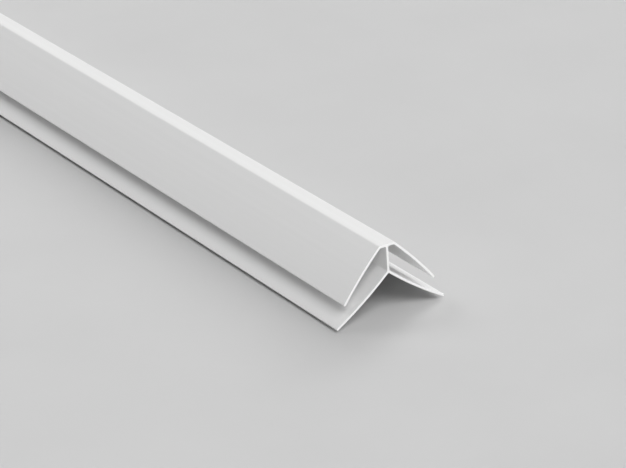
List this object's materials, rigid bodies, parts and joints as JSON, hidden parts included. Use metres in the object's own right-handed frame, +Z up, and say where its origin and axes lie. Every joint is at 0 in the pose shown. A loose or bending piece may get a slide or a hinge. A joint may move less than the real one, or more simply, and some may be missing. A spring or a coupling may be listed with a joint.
{
  "type": "corner guard moulding",
  "caption": "White rigid PVC trim strip for an outside wall corner: rear legs seat on the wall, a web carries a flat nose, and front flanges cover the panel edges in the side slots.",
  "frame": {"origin": "on the floor plane under the middle of the nose, half-way along the strip: bottom centre of the bounding box", "axes": "X along the length, Y across the section, Z up from the floor through the web to the nose"},
  "size_m": [2.4, 0.0572, 0.0338],
  "materials": {
    "pvc": "satin white extruded rigid PVC, faint draw lines along the length, square sawn ends"
  },
  "bodies": {
    "root": {"corner_profile": "pvc"}
  },
  "joints": []
}
